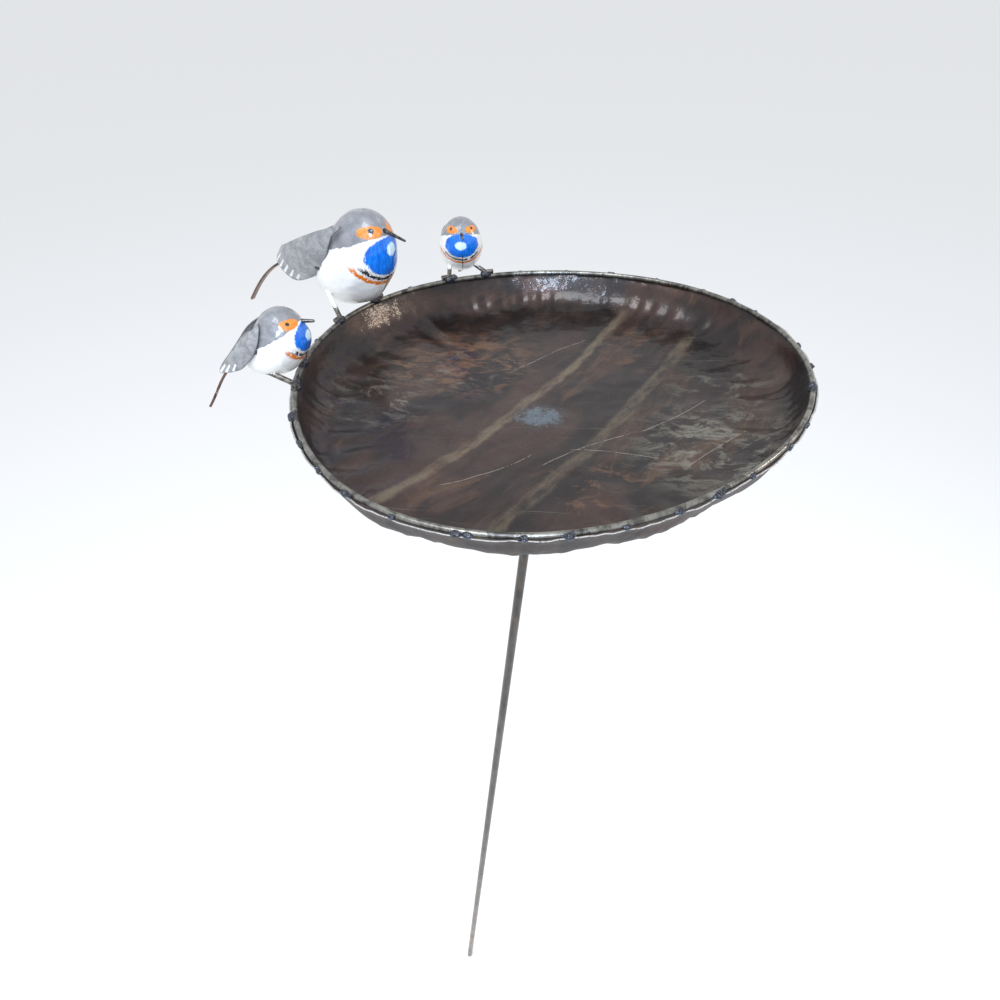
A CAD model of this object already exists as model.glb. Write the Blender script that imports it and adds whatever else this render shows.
import logging
import math
from dataclasses import dataclass
from enum import Enum
from typing import Callable, Dict, List, Optional, Sequence, Tuple, Union

import bpy
import numpy as np
from mathutils import Matrix, Vector, noise


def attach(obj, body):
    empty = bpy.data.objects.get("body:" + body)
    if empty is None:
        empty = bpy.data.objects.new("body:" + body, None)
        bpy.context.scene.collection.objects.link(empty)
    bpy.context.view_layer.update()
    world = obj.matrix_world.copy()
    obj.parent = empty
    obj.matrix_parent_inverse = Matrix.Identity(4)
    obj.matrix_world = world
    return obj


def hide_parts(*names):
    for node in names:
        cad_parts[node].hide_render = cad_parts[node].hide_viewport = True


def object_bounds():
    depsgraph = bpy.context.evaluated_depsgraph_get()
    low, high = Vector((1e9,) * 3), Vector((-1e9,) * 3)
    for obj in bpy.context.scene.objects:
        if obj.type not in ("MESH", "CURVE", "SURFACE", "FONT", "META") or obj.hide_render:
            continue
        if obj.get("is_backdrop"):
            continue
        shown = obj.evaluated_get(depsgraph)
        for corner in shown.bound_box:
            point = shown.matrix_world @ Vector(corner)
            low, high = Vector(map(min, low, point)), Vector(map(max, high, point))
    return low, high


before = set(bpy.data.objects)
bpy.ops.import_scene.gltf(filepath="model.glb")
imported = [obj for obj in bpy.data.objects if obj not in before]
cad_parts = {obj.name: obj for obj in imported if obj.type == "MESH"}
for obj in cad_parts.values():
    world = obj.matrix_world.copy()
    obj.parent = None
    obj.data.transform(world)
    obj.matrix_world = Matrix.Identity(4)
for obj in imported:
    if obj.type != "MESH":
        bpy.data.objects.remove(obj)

LOG = logging.getLogger("bird_bath")
MM = 0.001
TO_MM = 1000.0
BODY = "root"
Pair = Tuple[float, float]
Triple = Tuple[float, float, float]
Colour = Tuple[float, float, float]


class Side(Enum):
    """The two halves of a bird, as the sign of the sideways direction."""

    LEFT = 1
    RIGHT = -1


# ---------------------------------------------------------------- shapes shared by several pieces


@dataclass(frozen=True)
class RimLine:
    """Centre line of the hand-bent rim hoop, in metres.

    Args:
        centre: Middle of the hoop.
        radius: Mean radius.
        oval: Share and phase in degrees of the two-lobed out-of-roundness.
        three_lobe: Share and phase of the three-lobed out-of-roundness.
        rise_two: Height in metres and phase of the two-lobed warp.
        rise_three: Height and phase of the three-lobed warp.
        flat_share: Share of the radius inside which the floor is flat.
    """

    centre: Triple = (0.0776, -0.0291, 0.970)
    radius: float = 0.163
    oval: Pair = (0.033, 88.0)
    three_lobe: Pair = (0.023, 35.0)
    rise_two: Pair = (0.0016, 13.0)
    rise_three: Pair = (0.0014, 145.0)
    flat_share: float = 0.132

    def radius_at(self, angle: np.ndarray) -> np.ndarray:
        """Args: angle in radians. Returns: hoop radius there."""
        two = self.oval[0] * np.cos(2 * angle - math.radians(self.oval[1]))
        three = self.three_lobe[0] * np.cos(3 * angle - math.radians(self.three_lobe[1]))
        return self.radius * (1 + two + three)

    def rise_at(self, angle: np.ndarray) -> np.ndarray:
        """Args: angle in radians. Returns: height of the hoop above its mean plane."""
        two = self.rise_two[0] * np.cos(2 * angle - math.radians(self.rise_two[1]))
        three = self.rise_three[0] * np.cos(3 * angle - math.radians(self.rise_three[1]))
        return two + three

    def at(self, angle: np.ndarray, radius: np.ndarray, depth: np.ndarray) -> np.ndarray:
        """A point of the dish.

        Args:
            angle: Angle round the rim in radians.
            radius: Distance from the middle.
            depth: Depth below the hoop line.
        Returns:
            Positions, one row each.
        """
        share = np.maximum(0.0, radius / self.radius - self.flat_share)
        z = self.rise_at(angle) * share ** 2 - depth
        place = np.stack(np.broadcast_arrays(radius * np.cos(angle), radius * np.sin(angle), z), axis=-1)
        return place + np.array(self.centre)

    def point(self, degrees: float, inset: float = 0.0, depth: float = 0.0) -> Vector:
        """Args: angle in degrees, inset and depth in metres. Returns: the point beside the hoop line."""
        angle = np.array(math.radians(degrees))
        return Vector(self.at(angle, self.radius_at(angle) - inset, np.array(depth)))

    def tangent(self, degrees: float) -> Vector:
        """Args: angle in degrees. Returns: unit direction along the hoop."""
        return (self.point(degrees + 0.5) - self.point(degrees - 0.5)).normalized()


RIM = RimLine()


class Ripple:
    """A seeded sum of waves round a ring, for hand-made unevenness.

    Args:
        seed: Random seed.
        counts: Lowest and highest number of waves round the ring.
        terms: How many waves are added.
        slant: How far a wave leans with the second coordinate.
    """

    def __init__(self, seed: int, counts: Tuple[int, int], terms: int, slant: float = 0.0) -> None:
        draw = np.random.RandomState(seed)
        self.counts = draw.randint(counts[0], counts[1] + 1, terms)
        self.phases = draw.uniform(0, 2 * math.pi, terms)
        self.slants = draw.uniform(-slant, slant, terms)
        self.scale = 1.0 / math.sqrt(terms / 2.0)

    def __call__(self, angle: np.ndarray, across: Union[float, np.ndarray] = 0.0) -> np.ndarray:
        """Args: angle in radians, and a second coordinate from 0 to 1. Returns: values of about -1 to 1."""
        total = np.zeros(np.broadcast(angle, across).shape)
        for count, phase, slant in zip(self.counts, self.phases, self.slants):
            total = total + np.sin(count * angle + phase + slant * across)
        return total * self.scale


def smooth_loop(points: Sequence[Pair], count: int) -> np.ndarray:
    """A smooth closed curve through points.

    Args:
        points: Points to pass through.
        count: Samples returned.
    Returns:
        Samples as rows.
    """
    known = np.array(points, float)
    padded = np.vstack([known[-1:], known, known[:2]])
    t = np.linspace(0, len(known), count, endpoint=False)
    i = np.minimum(t.astype(int), len(known) - 1)
    f = (t - i)[:, None]
    a, b, c, d = (padded[i + k] for k in range(4))
    return 0.5 * (2 * b + (c - a) * f + (2 * a - 5 * b + 4 * c - d) * f ** 2
                  + (3 * b - a - 3 * c + d) * f ** 3)


def unevenness(points: np.ndarray, *layers: Tuple[float, float, Triple]) -> np.ndarray:
    """Adds up layers of noise.

    Args:
        points: Where it is wanted.
        layers: Scale, height and shift of each layer.
    Returns:
        The sum of the layers at each point.
    """
    values = [sum(noise.noise(Vector(p) * scale + Vector(shift)) * height for scale, height, shift in layers)
              for p in points.reshape(-1, 3)]
    return np.array(values).reshape(points.shape[:-1])


def grid_faces(rows: int, columns: int, start: int = 0, loop: bool = False,
               flip: bool = False) -> List[Tuple[int, ...]]:
    """Quads over a grid of vertices stored row by row.

    Args:
        rows: Rows of vertices.
        columns: Vertices in a row.
        start: Index of the first vertex.
        loop: True if each row closes on itself.
        flip: True to turn the faces over.
    Returns:
        Vertex indices of each face.
    """
    faces: List[Tuple[int, ...]] = []
    for r in range(rows - 1):
        for c in range(columns if loop else columns - 1):
            d = (c + 1) % columns
            here, below = start + r * columns, start + (r + 1) * columns
            quad = (here + c, here + d, below + d, below + c)
            faces.append(quad[::-1] if flip else quad)
    return faces


def grid_normals(grid: np.ndarray, loop: bool) -> np.ndarray:
    """Args: positions as rows x columns x 3, and whether rows close. Returns: unit normals."""
    if loop:
        across = np.roll(grid, -1, 1) - np.roll(grid, 1, 1)
    else:
        across = np.gradient(grid, axis=1)
    down = np.gradient(grid, axis=0)
    normal = np.cross(across, down)
    length = np.linalg.norm(normal, axis=-1, keepdims=True)
    return normal / np.maximum(length, 1e-12)


def add_attribute(mesh: bpy.types.Mesh, key: str, values: Sequence[Triple]) -> None:
    """Args: a mesh, an attribute name and one vector for each of its points."""
    layer = mesh.attributes.new(key, "FLOAT_VECTOR", "POINT")
    layer.data.foreach_set("vector", np.asarray(values, np.float32).ravel())


def make_piece(name: str, points: np.ndarray, faces: List[Tuple[int, ...]],
               stands_for: Sequence[str],
               material: bpy.types.Material,
               extra: Optional[Dict[str, np.ndarray]] = None) -> bpy.types.Object:
    """Makes one mesh piece that rides on the frame.

    Args:
        name: Object name.
        points: Vertex positions in metres.
        faces: Faces as vertex indices.
        stands_for: CAD nodes it stands for.
        material: Its finish.
        extra: Point attributes, each with three numbers a vertex.
    Returns:
        The new object.
    """
    mesh = bpy.data.meshes.new(name)
    mesh.from_pydata([tuple(p) for p in points], [], faces)
    mesh.validate()
    for key, values in (extra or {}).items():
        add_attribute(mesh, key, values)
    mesh.polygons.foreach_set("use_smooth", [True] * len(mesh.polygons))
    mesh.materials.append(material)
    made = bpy.data.objects.new(name, mesh)
    bpy.context.collection.objects.link(made)
    return settle(made, stands_for)


def settle(made: bpy.types.Object, stands_for: Sequence[str]) -> bpy.types.Object:
    """Args: a piece and the CAD nodes it stands for. Returns: the piece."""
    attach(made, BODY)
    if stands_for:
        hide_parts(*stands_for)
    return made


# ---------------------------------------------------------------- finishes


Value = Union[float, Tuple[float, ...], bpy.types.NodeSocket]


class Shader:
    """Builds one node material, with short calls for the usual nodes.

    Args:
        name: Material name.
    """

    def __init__(self, name: str) -> None:
        self.material = bpy.data.materials.new(name)
        self.material.use_nodes = True
        self.tree = self.material.node_tree
        self.tree.nodes.clear()
        self.surface = self.tree.nodes.new("ShaderNodeBsdfPrincipled")
        output = self.tree.nodes.new("ShaderNodeOutputMaterial")
        self.tree.links.new(self.surface.outputs["BSDF"], output.inputs["Surface"])

    def put(self, socket: bpy.types.NodeSocket, value: Value) -> None:
        """Args: an input, and a socket or plain value for it."""
        if isinstance(value, bpy.types.NodeSocket):
            self.tree.links.new(value, socket)
        elif isinstance(value, tuple) and socket.type == "RGBA" and len(value) == 3:
            socket.default_value = (*value, 1.0)
        else:
            socket.default_value = value

    def add(self, kind: str, inputs: Dict[Union[str, int], Value], output: Union[str, int] = 0,
            **settings: object) -> bpy.types.NodeSocket:
        """Args: node kind, its inputs, the output wanted and its settings. Returns: that output."""
        node = self.tree.nodes.new(kind)
        for key, value in settings.items():
            setattr(node, key, value)
        for key, value in inputs.items():
            self.put(node.inputs[key], value)
        return node.outputs[output]

    def math(self, operation: str, a: Value, b: Value = 0.0, c: Value = 0.0) -> bpy.types.NodeSocket:
        """Args: a Math operation and its inputs. Returns: its value."""
        return self.add("ShaderNodeMath", {0: a, 1: b, 2: c}, operation=operation)

    def length(self, *parts: Value) -> bpy.types.NodeSocket:
        """Args: a vector's parts. Returns: its length."""
        total: Value = 0.0
        for part in parts:
            total = self.math("ADD", self.math("MULTIPLY", part, part), total)
        return self.math("SQRT", total)

    def place(self) -> bpy.types.NodeSocket:
        """Returns: position in the object's own coordinates, which are the frame's."""
        return self.add("ShaderNodeTexCoord", {}, "Object")

    def place_mm(self) -> bpy.types.NodeSocket:
        """Returns: the same position in millimetres."""
        return self.moved(self.place(), scale=(TO_MM, TO_MM, TO_MM))

    def attribute(self, name: str) -> bpy.types.NodeSocket:
        """Args: name of a point attribute. Returns: its vector."""
        return self.add("ShaderNodeAttribute", {}, "Vector", attribute_name=name)

    def moved(self, vector: Value, move: Triple = (0, 0, 0), turn: Triple = (0, 0, 0),
              scale: Triple = (1, 1, 1)) -> bpy.types.NodeSocket:
        """Args: a vector and how it is moved, turned in degrees and scaled. Returns: the new vector."""
        turned = tuple(math.radians(a) for a in turn)
        return self.add("ShaderNodeMapping",
                        {"Vector": vector, "Location": move, "Rotation": turned, "Scale": scale})

    def split(self, vector: Value) -> Tuple[bpy.types.NodeSocket, ...]:
        """Args: a vector. Returns: its X, Y and Z."""
        node = self.tree.nodes.new("ShaderNodeSeparateXYZ")
        self.put(node.inputs[0], vector)
        return tuple(node.outputs)

    def cloud(self, vector: Value, scale: float, detail: float = 4.0, rough: float = 0.55,
              twist: float = 0.0) -> bpy.types.NodeSocket:
        """Args: noise settings. Returns: noise from 0 to 1."""
        inputs: Dict[Union[str, int], Value] = {"Vector": vector, "Scale": scale, "Detail": detail,
                                                "Roughness": rough}
        return self.add("ShaderNodeTexNoise", {**inputs, "Distortion": twist}, "Fac")

    def cells(self, vector: Value, scale: float) -> bpy.types.NodeSocket:
        """Args: a vector and scale. Returns: distance to the nearest scattered point."""
        return self.add("ShaderNodeTexVoronoi", {"Vector": vector, "Scale": scale}, "Distance")

    def step(self, value: Value, low: float, high: float) -> bpy.types.NodeSocket:
        """Args: a value and two limits. Returns: 0 at low rising smoothly to 1 at high."""
        limits = {"Value": value, "From Min": low, "From Max": high}
        return self.add("ShaderNodeMapRange", limits, interpolation_type="SMOOTHSTEP")

    def mix(self, amount: Value, a: Value, b: Value) -> bpy.types.NodeSocket:
        """Args: a share and two colours. Returns: the blend."""
        node = self.tree.nodes.new("ShaderNodeMix")
        node.data_type = "RGBA"
        self.put(node.inputs["Factor"], amount)
        self.put(node.inputs["A"], a)
        self.put(node.inputs["B"], b)
        return next(s for s in node.outputs if s.type == "RGBA")

    def both(self, a: Value, b: Value) -> bpy.types.NodeSocket:
        """Args: two masks. Returns: where both hold."""
        return self.math("MULTIPLY", a, b)

    def bump(self, height: Value, distance: float, strength: float) -> bpy.types.NodeSocket:
        """Args: a height, its size in metres and strength. Returns: the normal."""
        return self.add("ShaderNodeBump", {"Height": height, "Distance": distance, "Strength": strength})

    def finish(self, **inputs: Value) -> bpy.types.Material:
        """Args: surface inputs, with _ for spaces. Returns: the material."""
        for key, value in inputs.items():
            self.put(self.surface.inputs[key.replace("_", " ")], value)
        return self.material


@dataclass(frozen=True)
class DrumSteel:
    """Dark lacquered sheet from an old drum: mottled, wiped, scratched, with two pale lines and a heat mark.

    Args:
        dark: Darkest brown.
        brown: Main brown.
        rust: Warm brown of the worn patches.
        khaki: Grey-green of the bare patches.
        pale: Colour of the two pale lines.
        heat: Colour of the heat mark over the stake weld.
        line_angle: Direction of the pale lines in degrees from +X.
        lines: Each line's distance from the middle, the place of its bow along it, and the bow's strength.
        line_widths: Half width of each line in millimetres.
        line_shares: How strongly each line covers.
        patches: Place and reach in millimetres, colour name, strength and noise level of each mottled patch.
        heat_place: Middle of the heat mark in millimetres.
        heat_reach: Half sizes of the heat mark.
        scratch_lines: Both ends and the bow of each light scratch, in millimetres.
        hair_turns: Direction in degrees and shift of each set of hairline scratches.
    """

    dark: Colour = (0.010, 0.006, 0.006)
    brown: Colour = (0.046, 0.023, 0.018)
    rust: Colour = (0.165, 0.082, 0.042)
    khaki: Colour = (0.185, 0.170, 0.135)
    pale: Colour = (0.215, 0.165, 0.105)
    heat: Colour = (0.105, 0.135, 0.160)
    line_angle: float = 58.6
    lines: Tuple[Triple, ...] = ((-13.0, 0.0, 0.00035), (49.0, -40.0, 0.00028))
    line_widths: Pair = (4.6, 5.4)
    line_shares: Pair = (0.62, 0.42)
    patches: Tuple[Tuple[Pair, float, str, float, float], ...] = (
        ((-60, 55), 66, "rust", 0.9, 0.46), ((-70, 45), 50, "khaki", 0.6, 0.52),
        ((108, -50), 72, "khaki", 0.9, 0.47),
        ((-118, -8), 46, "khaki", 0.75, 0.5), ((-100, 40), 40, "rust", 0.7, 0.5),
        ((120, 20), 50, "khaki", 0.5, 0.5),
        ((30, -95), 50, "rust", 0.6, 0.5), ((60, 85), 60, "rust", 0.45, 0.5),
    )
    heat_place: Pair = (-5.0, -14.0)
    heat_reach: Pair = (17.0, 13.5)
    scratch_lines: Tuple[Tuple[Pair, Pair, float], ...] = (
        ((-3, -71), (55, -31), 3.0), ((60, -30), (108, 11), -2.0), ((-62, -95), (-8, -58), -4.0),
        ((14, -52), (70, -60), 2.5), ((-30, 40), (28, 96), 2.0), ((84, -70), (128, -28), 1.5),
    )
    hair_turns: Tuple[Pair, ...] = ((35, 11.0), (-20, 29.0), (72, 47.0))

    def make(self, name: str) -> bpy.types.Material:
        """Args: material name. Returns: the material."""
        s = Shader(name)
        c = RIM.centre
        here = s.moved(s.place(), move=(-c[0] * TO_MM, -c[1] * TO_MM, -c[2] * TO_MM),
                       scale=(TO_MM, TO_MM, TO_MM))
        x, y, z = s.split(here)
        along = s.moved(here, turn=(0, 0, -self.line_angle))
        run, off, _ = s.split(along)
        off = s.math("MULTIPLY", off, -1.0)
        big = s.cloud(s.moved(along, scale=(0.4, 1, 1)), 0.022, 6, 0.62, 0.4)
        fine = s.cloud(here, 0.12, 8, 0.7)
        tiny = s.cloud(here, 0.9, 3, 0.6)
        colour = s.mix(s.step(big, 0.40, 0.62), self.dark, self.brown)
        grit = s.cloud(here, 0.42, 7, 0.78)
        worn = s.cloud(s.moved(along, move=(31, 7, 0), scale=(0.35, 1, 1)), 0.035, 8, 0.7, 0.8)
        colour = s.mix(s.both(s.step(worn, 0.52, 0.72), 0.45), colour, self.rust)
        tints = {"rust": self.rust, "khaki": self.khaki}
        for centre, reach, tint, share, level in self.patches:
            colour = s.mix(self.patch(s, here, x, y, centre, reach, share, level), colour, tints[tint])
        wander = s.math("MULTIPLY", s.math("SUBTRACT", s.cloud(here, 0.03, 3, 0.5), 0.5), 7.0)
        floor_only = s.step(z, -21.0, -27.0)
        for (offset, start, bow), width, share in zip(self.lines, self.line_widths, self.line_shares):
            t = s.math("ADD", run, -start)
            bent = s.math("MULTIPLY_ADD", s.math("MULTIPLY", t, t), bow, -offset)
            apart = s.math("ABSOLUTE", s.math("ADD", s.math("ADD", off, bent), wander))
            ragged = s.math("MULTIPLY_ADD", fine, 5.0, apart)
            band = s.step(ragged, width + 3.4, width - 0.6)
            broken = s.step(s.cloud(s.moved(along, move=(offset, 0, 0), scale=(0.5, 1.6, 1)), 0.055, 5, 0.7),
                            0.3, 0.62)
            core = s.both(s.both(band, broken), s.both(share, floor_only))
            colour = s.mix(core, colour, self.pale)
        colour = self.heat_mark(s, here, x, y, fine, colour)
        colour = self.scratches(s, here, x, y, colour)
        back, lip, _ = s.split(s.attribute("sheet"))
        soot = s.cloud(s.moved(here, scale=(1, 1, 0.25)), 0.06, 6, 0.65, 0.5)
        under = s.mix(s.step(soot, 0.38, 0.62), self.dark, (0.050, 0.030, 0.022))
        under = s.mix(s.both(s.step(fine, 0.52, 0.68), 0.55), under, (0.110, 0.088, 0.062))
        colour = s.mix(back, colour, under)
        colour = s.mix(s.both(lip, s.step(tiny, 0.25, 0.5)), colour, (0.42, 0.40, 0.38))
        colour = s.mix(s.both(s.step(grit, 0.46, 0.34), 0.65), colour, (0.008, 0.005, 0.005))
        bright_grit = s.both(s.step(grit, 0.60, 0.72), s.step(fine, 0.42, 0.6))
        colour = s.mix(s.both(bright_grit, 0.6), colour, (0.27, 0.225, 0.19))
        speckle = s.step(s.cells(here, 0.55), 0.16, 0.05)
        colour = s.mix(s.both(speckle, s.both(s.step(fine, 0.5, 0.65), 0.5)), colour, (0.012, 0.009, 0.009))
        height = s.math("ADD", s.math("MULTIPLY", fine, 0.5), s.math("MULTIPLY", tiny, 0.14))
        normal = s.bump(height, 0.0006, 0.55)
        rough = s.math("ADD", s.math("MULTIPLY_ADD", fine, 0.34, 0.2), s.both(back, 0.3))
        metal = s.math("MULTIPLY_ADD", back, -0.4, 0.45)
        coat = s.math("MULTIPLY_ADD", back, -0.3, 0.4)
        ripples = s.math("ADD", big, s.math("MULTIPLY", s.cloud(here, 0.07, 3, 0.55), 0.55))
        return s.finish(Base_Color=colour, Metallic=metal, Roughness=rough, Normal=normal, Coat_Weight=coat,
                        Coat_Roughness=0.09, Coat_Normal=s.bump(ripples, 0.0035, 0.5))

    def patch(self, s: Shader, here: Value, x: Value, y: Value, centre: Pair, reach: float, share: float,
              level: float) -> bpy.types.NodeSocket:
        """Args: where a mottled patch lies, its reach, strength and noise level. Returns: its mask."""
        away = s.length(s.math("ADD", x, -float(centre[0])), s.math("ADD", y, -float(centre[1])))
        near = s.step(away, reach, reach * 0.25)
        drawn_out = s.moved(here, move=(centre[0], centre[1], 0), turn=(0, 0, -self.line_angle),
                            scale=(0.55, 1, 1))
        speck = s.cloud(drawn_out, 0.085, 9, 0.74, 0.6)
        return s.both(s.both(near, s.step(speck, level, level + 0.13)), share)

    def heat_mark(self, s: Shader, here: Value, x: Value, y: Value, fine: Value,
                  colour: Value) -> bpy.types.NodeSocket:
        """Args: nodes so far. Returns: the colour with the blue-grey mark and its small pits."""
        (centre_x, centre_y), (reach_x, reach_y) = self.heat_place, self.heat_reach
        dx = s.math("MULTIPLY", s.math("ADD", x, -centre_x), 1 / reach_x)
        dy = s.math("MULTIPLY", s.math("ADD", y, -centre_y), 1 / reach_y)
        away = s.length(dx, dy)
        ragged = s.math("ADD", away,
                        s.math("MULTIPLY", s.math("SUBTRACT", s.cloud(here, 0.11, 7, 0.75), 0.5), 1.5))
        halo = s.both(s.step(ragged, 1.5, 0.8), 0.5)
        colour = s.mix(halo, colour, (0.040, 0.034, 0.036))
        mark = s.both(s.step(ragged, 1.0, 0.62), s.step(fine, 0.3, 0.52))
        colour = s.mix(s.both(mark, 0.9), colour, self.heat)
        dots = s.cells(s.moved(here, turn=(0, 0, 40), scale=(1, 1.3, 1)), 0.42)
        pits = s.both(s.step(dots, 0.24, 0.1), s.step(away, 1.25, 0.9))
        return s.mix(s.both(pits, 0.7), colour, (0.30, 0.33, 0.36))

    def scratches(self, s: Shader, here: Value, x: Value, y: Value, colour: Value) -> bpy.types.NodeSocket:
        """Args: nodes so far. Returns: the colour with light hairline scratches."""
        for (ax, ay), (bx, by), bow in self.scratch_lines:
            length = math.hypot(bx - ax, by - ay)
            ux, uy = (bx - ax) / length, (by - ay) / length
            run = s.math("ADD", s.math("MULTIPLY", x, ux),
                         s.math("MULTIPLY_ADD", y, uy, -(ax * ux + ay * uy)))
            off = s.math("ADD", s.math("MULTIPLY", x, -uy), s.math("MULTIPLY_ADD", y, ux, ax * uy - ay * ux))
            t = s.math("MULTIPLY", run, 1 / length)
            arc = s.math("MULTIPLY", s.math("MULTIPLY", t, s.math("SUBTRACT", 1.0, t)), 4.0 * bow)
            apart = s.math("ABSOLUTE", s.math("SUBTRACT", off, arc))
            ends = s.both(s.step(t, 0.0, 0.06), s.step(t, 1.0, 0.94))
            line = s.both(s.step(apart, 0.42, 0.12), ends)
            gaps = s.step(s.cloud(here, 0.35, 3, 0.7), 0.36, 0.5)
            colour = s.mix(s.both(s.both(line, gaps), 0.7), colour, (0.34, 0.30, 0.25))
        for turn, seed in self.hair_turns:
            stretched = s.moved(here, move=(seed, seed, 0), turn=(0, 0, turn), scale=(0.012, 0.9, 0.012))
            hair = s.step(s.cloud(stretched, 1.0, 2, 0.5), 0.735, 0.76)
            colour = s.mix(s.both(hair, 0.35), colour, (0.22, 0.19, 0.16))
        return colour


@dataclass(frozen=True)
class BarSteel:
    """Bare round bar under clear lacquer.

    Args:
        dark: Mill scale.
        light: Rubbed metal.
        tip: Colour towards the pointed end, if it changes.
        tip_range: Heights in metres between which it changes, low then high.
        shine: Roughness of the rubbed metal.
    """

    dark: Colour = (0.050, 0.045, 0.042)
    light: Colour = (0.30, 0.285, 0.265)
    tip: Optional[Colour] = None
    tip_range: Pair = (-0.25, 0.3)
    shine: float = 0.28
    cover: Pair = (0.36, 0.6)

    def make(self, name: str) -> bpy.types.Material:
        """Args: material name. Returns: the material."""
        s = Shader(name)
        here = s.place_mm()
        patches = s.cloud(s.moved(here, scale=(1, 1, 0.3)), 0.11, 6, 0.65, 0.6)
        grain = s.cloud(s.moved(here, scale=(1, 1, 0.5)), 1.4, 4, 0.6)
        dark: Value = self.dark
        light: Value = self.light
        if self.tip is not None:
            low = s.step(s.split(s.place())[2], self.tip_range[1], self.tip_range[0])
            light = s.mix(low, light, self.tip)
            dark = s.mix(s.both(low, 0.7), dark, tuple(v * 0.45 for v in self.tip))
        colour = s.mix(s.step(patches, *self.cover), dark, light)
        rust = s.step(s.cloud(here, 0.22, 7, 0.72, 0.5), 0.6, 0.72)
        colour = s.mix(s.both(rust, 0.55), colour, (0.105, 0.048, 0.024))
        colour = s.mix(s.both(s.step(grain, 0.5, 0.75), 0.4), colour, (0.022, 0.019, 0.018))
        rough = s.math("MULTIPLY_ADD", patches, -0.25, self.shine + 0.27)
        height = s.math("ADD", s.math("MULTIPLY", patches, 0.6), s.math("MULTIPLY", grain, 0.25))
        return s.finish(Base_Color=colour, Metallic=0.75, Roughness=rough, Normal=s.bump(height, 0.0004, 0.6),
                        Coat_Weight=0.4, Coat_Roughness=0.15)


@dataclass(frozen=True)
class WeldMetal:
    """Dark blue-grey weld bead with bright specks and scale."""

    dark: Colour = (0.020, 0.022, 0.028)
    blue: Colour = (0.080, 0.092, 0.120)
    bright: Colour = (0.55, 0.57, 0.60)

    def make(self, name: str) -> bpy.types.Material:
        """Args: material name. Returns: the material."""
        s = Shader(name)
        here = s.place_mm()
        lumps = s.cloud(here, 0.55, 6, 0.7, 0.5)
        colour = s.mix(s.step(lumps, 0.4, 0.62), self.dark, self.blue)
        colour = s.mix(s.both(s.step(s.cloud(here, 1.1, 3, 0.6), 0.6, 0.72), 0.8), colour,
                       (0.14, 0.075, 0.04))
        specks = s.step(s.cells(here, 0.9), 0.2, 0.08)
        colour = s.mix(s.both(specks, 0.75), colour, self.bright)
        normal = s.bump(s.math("ADD", lumps, s.math("MULTIPLY", s.cells(here, 0.7), -0.5)), 0.0012, 0.9)
        rough = s.math("MULTIPLY_ADD", lumps, 0.35, 0.15)
        return s.finish(Base_Color=colour, Metallic=0.8, Roughness=rough, Normal=normal, Coat_Weight=0.35,
                        Coat_Roughness=0.12)


@dataclass(frozen=True)
class Patch:
    """A patch of paint as a ball around a place in the bird's own millimetres.

    Args:
        centre: Forward, side and up.
        reach: Half sizes the same way.
    """

    centre: Triple
    reach: Triple

    def away(self, s: Shader, forward: Value, side: Value, up: Value) -> bpy.types.NodeSocket:
        """Args: the place asked about. Returns: 0 at the middle and 1 at the patch's edge."""
        parts = zip((forward, side, up), self.centre, self.reach)
        return s.length(*(s.math("MULTIPLY", s.math("ADD", value, -middle), 1 / reach) for value, middle,
                          reach in parts))


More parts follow.
